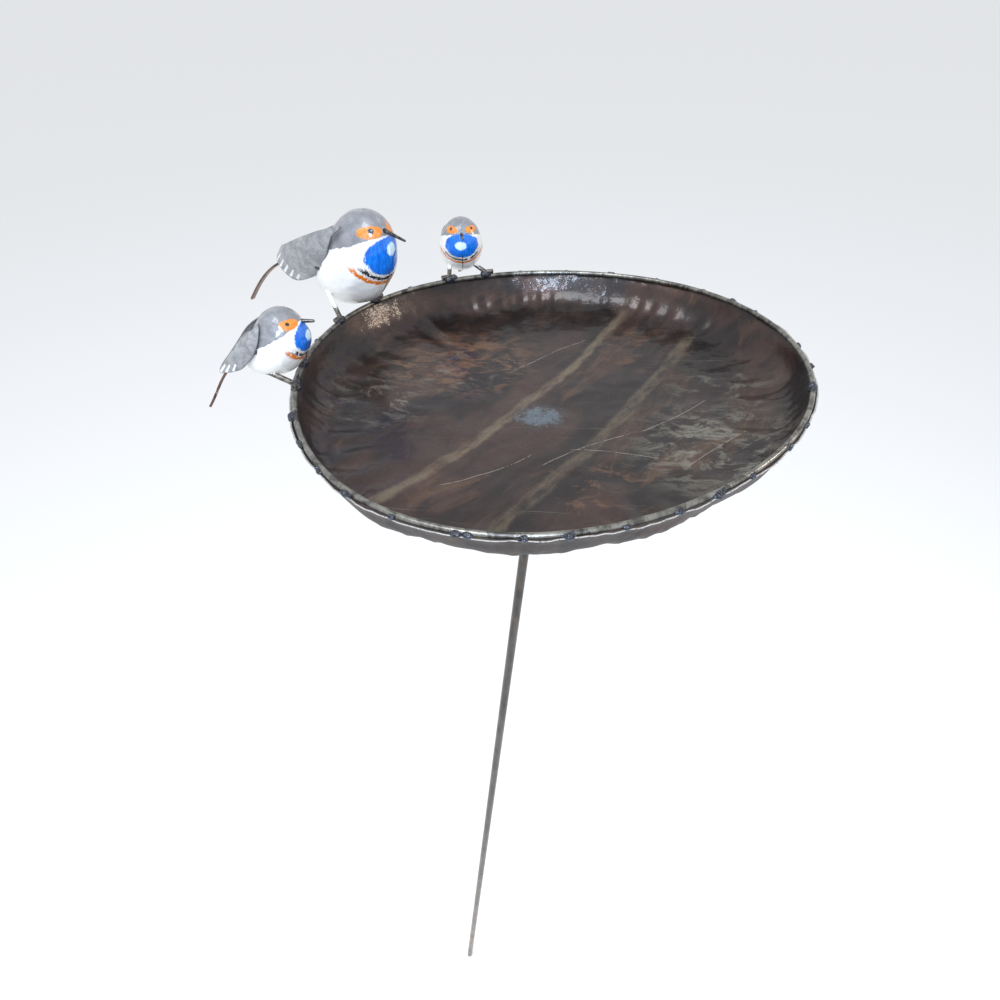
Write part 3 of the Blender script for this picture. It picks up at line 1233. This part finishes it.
@dataclass(frozen=True)
class WingForm:
    """A wing cut from sheet beaten over a rounded form, in small-bird millimetres.

    Args:
        centre: Middle of the form, forward and up.
        pitch: Tilt of the form in degrees.
        sizes: Half sizes of the form along the wing, sideways and up.
        outline: Wing outline as back along the wing and up from it.
        strokes: White feather strokes, see WingPaint.
    """

    centre: Pair
    pitch: float
    sizes: Triple
    outline: Tuple[Pair, ...]
    strokes: Tuple[Tuple[float, float, float, float], ...]


SMALL_WING = WingForm(
    (-22.0, 22.0), -40.0, (34.0, 15.2, 12.0),
    ((-14.4, 9.4), (-9.6, 9.7), (-3.2, 10.8), (4.4, 10.4), (12.4, 8.8), (23.5, 7), (33, 5.7), (24.2, 2.9),
     (18.5, 0.6),
     (13.6, -1.2), (7, -1), (-0.8, 0.1), (-7.6, 3), (-12.2, 6.3)),
    ((13.0, 19.0, 3.4, 1.2), (17.0, 24.5, 5.2, 3.2), (20.5, 29.5, 6.6, 4.9)),
)
LARGE_WING = WingForm(
    (-24.0, 26.0), -30.0, (40.0, 15.6, 15.0),
    ((-26.9, 2.3), (-20.9, 0.6), (-17.5, -2), (-9.8, -6.6), (2, -9.6), (10.8, -9.4), (21.2, -7.4),
     (24.1, -2.8), (28.2, 3),
     (31.1, 7.6), (29.6, 10.5), (12.6, 8.7), (-1.4, 7.3), (-14.6, 5.5)),
    ((13.0, 20.0, -6.0, -7.0), (15.0, 22.6, -3.0, -4.4), (17.5, 25.3, 0.2, -1.4), (20.0, 27.6, 3.4, 1.8),
     (22.0, 30.2, 6.6, 5.4)),
)


@dataclass
class Bird:
    """One welded sheet bird, given in small-bird millimetres as forward, side and up.

    Args:
        name: Start of its node names.
        scale: Size against a small bird.
        feet: Angles on the hoop of its right and left foot, in degrees.
        heading: Direction it faces, in degrees from +X.
        shift: How far it stands forward of its feet, in millimetres.
        slip: How far it stands to its left of its feet, in millimetres.
        lean: How far forward the head leans for each millimetre up.
        stretch: Stretch forward, sideways and up about the middle.
        rise: How far it stands up, in small-bird millimetres.
        wing: Its wing form.
        paint: Its body paint.
        seed: Seed of its dents and weld lumps.
        middle: Forward and up place that the stretch leaves alone.
        leg_level: Height above the hoop, in metres, where the paint on the legs stops.
        body: Body sections as height, forward centre, half length and half width.
        bottom: Height and forward place of the lowest point.
        top: The same of the highest point.
        lean_from: Height above which the head leans.
        sheet: Sheet thickness in millimetres.
        rows: Points of the body's mesh upwards.
        columns: Points of the body's mesh from front to back.
    """

    name: str
    scale: float
    feet: Pair
    heading: float
    shift: float
    slip: float
    lean: float
    stretch: Triple
    rise: float
    wing: WingForm
    paint: BirdPaint
    seed: int
    middle: Pair = (-8.6, 24.0)
    leg_level: float = 0.0085
    body: Tuple[Tuple[float, float, float, float], ...] = (
        (3.0, -15.0, 9.5, 8.0), (8.0, -14.5, 16.5, 13.0), (16.0, -12.0, 19.5, 16.2), (24.0, -8.6, 19.3, 16.8),
        (31.0, -6.0, 16.8, 15.2), (38.0, -4.2, 13.0, 12.3), (43.4, -3.4, 8.4, 8.2))
    bottom: Pair = (0.6, -15.0)
    top: Pair = (46.4, -3.0)
    lean_from: float = 26.0
    sheet: float = 0.9
    rows: int = 92
    columns: int = 84

    def local(self, template: np.ndarray) -> np.ndarray:
        """Args: points as forward, side and up in small-bird millimetres. Returns: them in this bird's own."""
        up = (template[..., 2] - self.middle[1]) * self.stretch[2] + self.middle[1] + self.rise
        forward = (template[..., 0] - self.middle[0]) * self.stretch[0] + self.middle[0]
        forward = forward + self.lean * np.maximum(0.0, up - self.lean_from)
        side = template[..., 1] * self.stretch[1]
        return np.stack([forward * self.scale + self.shift, side * self.scale + self.slip, up * self.scale],
                        -1)

    def placed(self, local: np.ndarray) -> np.ndarray:
        """Args: points in this bird's own millimetres. Returns: the same points in the frame, in metres."""
        turn = np.array(Matrix.Rotation(math.radians(self.heading), 3, "Z"))
        middle = (RIM.point(self.feet[0]) + RIM.point(self.feet[1])) / 2
        return local * MM @ turn.T + np.array(middle)

    def world(self, template: np.ndarray) -> np.ndarray:
        """Args: points in small-bird millimetres. Returns: the same points in the frame, in metres."""
        return self.placed(self.local(template))

    def half_surface(self, side: Side) -> np.ndarray:
        """Args: which half. Returns: its outer face as rows x columns x 3, in small-bird millimetres."""
        sections = np.array([(self.bottom[0], self.bottom[1], 0.0, 0.0), *self.body,
                             (self.top[0], self.top[1], 0.0, 0.0)])
        mirror = np.array((1.0, 1.0, -1.0, -1.0))
        chain = np.vstack([sections[2:0:-1] * mirror, sections, sections[-2:-4:-1] * mirror])
        reach = np.hypot(np.diff(chain[:, 0]), np.diff(chain[:, 2]))
        knots = np.concatenate([[0], np.cumsum(reach)])
        s = np.linspace(knots[2], knots[-3], self.rows)
        up, centre, length, width = (spline_weights(knots, s) @ chain).T[:, :, None]
        even = np.linspace(0, 1, self.columns)
        t = math.pi * (0.45 * even + 0.55 * (0.5 - 0.5 * np.cos(math.pi * even)))
        grid = np.stack(np.broadcast_arrays(centre + length * np.cos(t), side.value * width * np.sin(t), up),
                        -1)
        normal = grid_normals(grid, loop=False) * -side.value
        normal[0], normal[-1] = (0, 0, -1), (0, 0, 1)
        self.normal = normal
        hammer = unevenness(grid, (0.11, 0.55, (self.seed, 0, 0)), (0.3, 0.16, (0, self.seed, 0)))
        calm = np.clip(np.abs(grid[..., 1]) / 3.0, 0, 1)
        body_part = np.sin(math.pi * np.linspace(0, 1, self.rows))[:, None] ** 0.5
        groove = -0.38 * np.exp(-(grid[..., 1] / 0.55) ** 2) * body_part
        depths = [noise.noise(Vector((0, 5 + self.seed, float(h) * 0.5))) for h in up[:, 0]]
        wobble = np.array(depths)[:, None] * 0.25
        push = (hammer * calm * body_part + groove * (1 + wobble))
        ends = np.clip(np.minimum(s - s[0], s[-1] - s) / 3.0, 0, 1)[:, None]
        return grid + normal * (push * ends)[..., None]

    def half(self, side: Side, finish: bpy.types.Material) -> bpy.types.Object:
        """Args: which half and its finish. Returns: that half of the body as a closed sheet."""
        outer = self.half_surface(side)
        inner = outer - self.normal * (self.sheet / self.scale)
        for column in (0, -1):
            outer[:, column, 1] = 0.0
            inner[:, column, 1] = 0.0
        for grid in (outer, inner):
            grid[0], grid[-1] = grid[0].mean(0), grid[-1].mean(0)
        name = self.name + "_half_" + side.name.lower()
        node = self.name + "_body_" + side.name.lower()
        return closed_sheet(name, outer, inner, self.world, [node], finish,
                            {"bird": (outer, inner)})

    def wing_edges(self, along: np.ndarray) -> Tuple[np.ndarray, np.ndarray]:
        """Args: places along the wing. Returns: lowest and highest point of the outline at each."""
        loop = smooth_loop(self.wing.outline, 600)
        ahead = np.roll(loop, -1, 0)
        low, high = np.zeros_like(along), np.zeros_like(along)
        for i, x in enumerate(along):
            cut = ((loop[:, 0] - x) * (ahead[:, 0] - x) <= 0) & (loop[:, 0] != ahead[:, 0])
            a, b = loop[cut], ahead[cut]
            crossing = a[:, 1] + (b[:, 1] - a[:, 1]) * (x - a[:, 0]) / (b[:, 0] - a[:, 0])
            low[i], high[i] = crossing.min(), crossing.max()
        return low, high

    def make_wing(self, side: Side, finish: bpy.types.Material) -> bpy.types.Object:
        """Args: which wing and its finish. Returns: the wing as a closed sheet."""
        loop = smooth_loop(self.wing.outline, 600)
        even = (1 - np.cos(np.linspace(0, math.pi, 60))) / 2
        along = loop[:, 0].min() + 0.02 + (np.ptp(loop[:, 0]) - 0.04) * even
        low, high = self.wing_edges(along)
        size_x, size_y, size_z = self.wing.sizes
        share = np.linspace(0, 1, 34)
        faces: List[np.ndarray] = []
        for grow in (self.sheet / self.scale, 0.0):
            ball = np.sqrt(np.maximum(1 - (along / (size_x + grow)) ** 2, 1e-6))
            first = np.arcsin(np.clip(low / ((size_z + grow) * ball), -0.999, 0.999))
            last = np.arcsin(np.clip(high / ((size_z + grow) * ball), -1.0, 0.9995))
            phi = first[:, None] + (last - first)[:, None] * share
            side_way = (size_y + grow) * ball[:, None] * np.cos(phi)
            height = (size_z + grow) * ball[:, None] * np.sin(phi)
            faces.append(np.stack(np.broadcast_arrays(along[:, None], side_way, height), -1))
        outer, inner = faces
        wave = unevenness(outer, (0.12, 0.7, (0, 0, self.seed + side.value * 3)),
                          (0.32, 0.22, (3, 0, self.seed)))
        edge_low = np.exp(-share * 9)[None, :]
        tip = np.clip((along - 0.55 * along.max()) / (0.45 * along.max()), 0, 1)[:, None]
        out = wave + 0.5 * edge_low * tip + 0.6 * tip ** 2
        for grid in (outer, inner):
            grid[..., 1] += out * np.clip(grid[..., 1] / 5.0, 0.0, 1.0) + 0.12
        placed = [self.in_body(grid, side) for grid in (outer, inner)]
        from_ends = np.minimum(along - along[0], along[-1] - along) * 1.2
        border = np.minimum(share * 16, from_ends[:, None])
        marks = [np.stack([grid[..., 0], grid[..., 2], np.exp(-(border / 0.8) ** 2)], -1)
                 for grid in (outer, inner)]
        name = self.name + "_sheet_wing_" + side.name.lower()
        node = self.name + "_wing_" + side.name.lower()
        return closed_sheet(name, placed[0], placed[1], self.placed, [node], finish,
                            {"bird": (placed[0] / self.scale, placed[1] / self.scale),
                             "wing": (marks[0], marks[1])})

    def in_body(self, grid: np.ndarray, side: Side) -> np.ndarray:
        """Args: points in the wing's own frame, and the side. Returns: them in this bird's own millimetres."""
        turn = np.array(Matrix.Rotation(math.radians(self.wing.pitch), 3, "Y"))
        turned = np.stack([-grid[..., 0], side.value * grid[..., 1], grid[..., 2]], -1) @ turn.T
        centre = self.local(np.array((self.wing.centre[0], 0.0, self.wing.centre[1])))
        return turned * self.scale + centre

    def foot_beads(self) -> List[Bead]:
        """Returns: the weld lumps that hold both toes to the hoop."""
        draw = np.random.RandomState(self.seed)
        beads: List[Bead] = []
        for angle in self.feet:
            for k in range(5):
                part = 0.0031 if k == 0 else float(draw.uniform(0.0013, 0.0023))
                beside = angle + (0 if k == 0 else float(draw.uniform(-1.3, 1.3)))
                inset = 0.0004 + float(draw.uniform(-0.0018, 0.0012)) * (k > 0)
                centre = RIM.point(beside, inset, -0.0016 - float(draw.uniform(-0.0012, 0.0016)) * (k > 0))
                beads.append(Bead(centre, RIM.tangent(angle), (part * 1.4, part * 1.0, part * 0.95)))
        return beads

    def build(self, welds: WeldBeads, finishes: Dict[str, bpy.types.Material]) -> List[bpy.types.Object]:
        """Args: the weld maker and finishes by name. Returns: the pieces made for this bird."""
        paint = self.paint.make(self.name + "_paint")
        wing_paint = WingPaint(self.wing.strokes).make(self.name + "_wing_paint")
        made = [self.half(side, paint) for side in Side]
        made += [self.make_wing(side, wing_paint) for side in Side]
        feet = welds.make(self.name + "_feet", self.foot_beads(), [self.name + "_foot_welds"], seed=self.seed)
        made.append(feet)
        level = RIM.point(sum(self.feet) / 2).z + self.leg_level
        legs = LegPaint(level).make(self.name + "_leg_paint")
        for key, finish in (("tail", finishes["tail"]), ("beak", finishes["beak"]), ("leg_left", legs),
                            ("leg_right", legs),
                            ("wing_welds", finishes["weld"])):
            dress(self.name + "_" + key, finish)
        return made


def closed_sheet(name: str, outer: np.ndarray, inner: np.ndarray, place: Callable[[np.ndarray], np.ndarray],
                 stands_for: Sequence[str], finish: bpy.types.Material,
                 extra: Dict[str, Tuple[np.ndarray, np.ndarray]]) -> bpy.types.Object:
    """Two faces of a sheet joined all round their edge.

    Args:
        name: Object name.
        outer: Outer face as rows x columns x 3.
        inner: Inner face of the same shape.
        place: Turns those points into frame positions.
        stands_for: CAD nodes it stands for.
        finish: Material.
        extra: Attributes as (outer, inner) values.
    Returns:
        The piece.
    """
    rows, columns = outer.shape[:2]
    count = rows * columns
    points = place(np.concatenate([outer.reshape(-1, 3), inner.reshape(-1, 3)]))
    faces = grid_faces(rows, columns) + grid_faces(rows, columns, count, flip=True)
    border = list(range(columns)) + [r * columns + columns - 1 for r in range(1, rows)]
    border += ([(rows - 1) * columns + c for c in range(columns - 2, -1, -1)]
               + [r * columns for r in range(rows - 2, 0, -1)])
    for a, b in zip(border, border[1:] + border[:1]):
        faces.append((b, a, count + a, count + b))
    values = {key: np.concatenate([pair[0].reshape(-1, 3), pair[1].reshape(-1, 3)]) for key,
              pair in extra.items()}
    points, faces, values = merge_twins(points, faces, values)
    return make_piece(name, points, outwards(points, faces), stands_for, finish, values)


def merge_twins(points: np.ndarray, faces: List[Tuple[int, ...]], values: Dict[str, np.ndarray]
                ) -> Tuple[np.ndarray, List[Tuple[int, ...]], Dict[str, np.ndarray]]:
    """Args: a mesh with its attributes. Returns: it with points at one place made one, and no flat faces."""
    keys = np.round(points / 2e-6).astype(np.int64)
    _, first, inverse = np.unique(keys, axis=0, return_index=True, return_inverse=True)
    inverse = inverse.reshape(-1)
    kept: List[Tuple[int, ...]] = []
    for face in faces:
        loop: List[int] = []
        for i in face:
            j = int(inverse[i])
            if j not in loop:
                loop.append(j)
        if len(loop) > 2:
            kept.append(tuple(loop))
    return points[first], kept, {key: v[first] for key, v in values.items()}


def dress(node: str, finish: bpy.types.Material) -> None:
    """Args: a CAD node and its finish."""
    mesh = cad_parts[node].data
    mesh.materials.clear()
    mesh.materials.append(finish)


# ---------------------------------------------------------------- studio


@dataclass(frozen=True)
class Lamp:
    """A soft square light aimed at the middle of the hoop.

    Args:
        name: Its name.
        offset: Its place from the middle of the hoop.
        size: Side in metres.
        power: Power in watts.
        colour: Its colour.
    """

    name: str
    offset: Triple
    size: float
    power: float
    colour: Colour

    def build(self) -> None:
        """Adds the light."""
        data = bpy.data.lights.new(self.name, "AREA")
        data.size = self.size
        data.energy = self.power
        data.color = self.colour
        light = bpy.data.objects.new(self.name, data)
        centre = Vector(RIM.centre)
        place = centre + Vector(self.offset)
        light.location = place
        light.rotation_euler = (centre - place).to_track_quat("-Z", "Y").to_euler()
        bpy.context.collection.objects.link(light)


@dataclass(frozen=True)
class Studio:
    """Pale floor, soft lights and the camera.

    Args:
        camera_offset: Camera place from the middle of the hoop.
        right: Camera's right direction.
        up: Camera's up direction.
        back: Direction the camera looks away from.
        lens: Focal length in millimetres.
        frame_width: Width of the camera's frame in millimetres.
        floor_size: Side of the floor.
        floor_drop: How far the floor lies under the stake's tip.
        lamps: The lights.
        sky: Colour of the light from all round.
        sky_strength: Its strength.
    """

    camera_offset: Triple = (0.000013, -0.41077, 0.22406)
    right: Triple = (0.99709, 0.07598, -0.006)
    up: Triple = (-0.04382, 0.6359, 0.77052)
    back: Triple = (0.06236, -0.76802, 0.63738)
    lens: float = 25.2
    frame_width: float = 36.0
    floor_size: float = 90.0
    floor_drop: float = 0.0005
    lamps: Tuple[Lamp, ...] = (
        Lamp("key", (-0.5, -0.9, 1.9), 1.1, 34.0, (0.90, 0.95, 1.0)),
        Lamp("far_wall_sheen", (0.05, -1.5, 0.85), 0.45, 24.0, (0.66, 0.80, 1.0)),
        Lamp("warm_side", (1.5, 0.3, 0.55), 0.28, 5.0, (1.0, 0.84, 0.68)),
    )
    sky: Colour = (0.95, 0.97, 1.0)
    sky_strength: float = 0.86

    def build(self) -> None:
        """Makes the floor, camera and lights."""
        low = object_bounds()[0][2] - self.floor_drop
        half = self.floor_size / 2
        mesh = bpy.data.meshes.new("floor")
        mesh.from_pydata([(-half, -half, low), (half, -half, low), (half, half, low), (-half, half, low)], [],
                         [(0, 1, 2, 3)])
        mesh.materials.append(FloorPaint().make("floor"))
        floor = bpy.data.objects.new("floor", mesh)
        bpy.context.collection.objects.link(floor)
        floor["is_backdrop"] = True
        data = bpy.data.cameras.new("camera")
        data.sensor_width = self.frame_width
        data.lens = self.lens
        data.clip_start = 0.01
        camera = bpy.data.objects.new("camera", data)
        camera.matrix_world = Matrix.Translation(Vector(RIM.centre) + Vector(self.camera_offset)) @ Matrix(
            (self.right, self.up, self.back)).transposed().to_4x4()
        bpy.context.collection.objects.link(camera)
        bpy.context.scene.camera = camera
        for lamp in self.lamps:
            lamp.build()
        world = bpy.data.worlds.new("studio")
        world.use_nodes = True
        background = world.node_tree.nodes["Background"]
        background.inputs[0].default_value = (*self.sky, 1.0)
        background.inputs[1].default_value = self.sky_strength
        bpy.context.scene.world = world
        bpy.context.scene.view_settings.view_transform = "Standard"


def main() -> None:
    """Builds the bird bath's visible pieces in order."""
    logging.basicConfig(level=logging.INFO, format="%(name)s: %(message)s")
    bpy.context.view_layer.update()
    hoop_bar = BarSteel(dark=(0.040, 0.038, 0.034), light=(0.26, 0.25, 0.22), shine=0.2, cover=(0.36, 0.62))
    hoop_steel = hoop_bar.make("hoop_steel")
    stake_bar = BarSteel(dark=(0.040, 0.032, 0.026), light=(0.105, 0.088, 0.072), tip=(0.30, 0.22, 0.15),
                         tip_range=(-0.25, 0.35), cover=(0.3, 0.7))
    stake_steel = stake_bar.make("stake_steel")
    weld = WeldMetal().make("weld_metal")
    finishes = {
        "weld": weld,
        "tail": BarSteel(dark=(0.030, 0.020, 0.016), light=(0.17, 0.095, 0.060),
                         shine=0.35).make("tail_steel"),
        "beak": BarSteel(dark=(0.020, 0.019, 0.020), light=(0.22, 0.20, 0.18), shine=0.25,
                         cover=(0.42, 0.66)).make("beak_steel"),
    }
    bars, beads = RoundBar(), WeldBeads(weld)
    dish = Dish()
    LOG.info("dish: %s", dish.build(DrumSteel().make("drum_steel")).name)
    for piece in RimHoop(dish.tacks).build(bars, beads, hoop_steel):
        LOG.info("rim: %s", piece.name)
    dress("stake", stake_steel)
    dress("stake_weld", weld)
    large = BirdPaint(throat=Patch((9.0, 0.0, 29.0), (13.0, 12.0, 8.6)),
                      spot=Patch((10.6, 1.2, 31.8), (6.0, 3.4, 3.0)),
                      eye=(5.5, 6.4, 40.3), cheek=Patch((5.0, 6.4, 39.9), (5.6, 6.2, 2.6)),
                      border=(31.2, 0.36), bands=(1.22, 1.5))
    left = BirdPaint(throat=Patch((8.0, 0.0, 28.0), (13.0, 13.6, 10.2)),
                     spot=Patch((10.5, -1.5, 28.5), (6.0, 4.6, 3.6)),
                     eye=(3.0, 9.2, 39.8), cheek=Patch((2.8, 7.4, 39.3), (6.4, 7.4, 3.2)),
                     border=(30.2, 0.47), bands=(1.2, 1.42))
    back = BirdPaint(throat=Patch((8.0, 0.0, 28.5), (13.0, 13.2, 9.6)),
                     spot=Patch((11.0, -1.0, 29.1), (6.0, 4.6, 3.4)),
                     eye=(4.6, 7.4, 40.5), cheek=Patch((4.4, 6.6, 40.2), (5.6, 5.6, 2.6)),
                     border=(31.4, 0.30), bands=(1.22, 1.5))
    birds = [
        Bird("large_bird", 1.56, (161.6, 146.5), -32.0, 9.45, 7.9, 0.15, (1.085, 0.863, 0.975), 0.52,
             LARGE_WING, large, 3),
        Bird("left_bird", 1.0, (195.4, 185.2), 7.0, 0.16, 3.1, -0.155, (0.956, 0.97, 0.908), -0.04,
             SMALL_WING, left, 11),
        Bird("back_bird", 1.0, (121.5, 110.5), -80.0, -3.3, -3.7, -0.01, (0.992, 1.0, 0.96), 0.57, SMALL_WING,
             back, 17),
    ]
    for bird in birds:
        for piece in bird.build(beads, finishes):
            LOG.info("%s: %s", bird.name, piece.name)
    Studio().build()


if __name__ == "__main__":
    main()
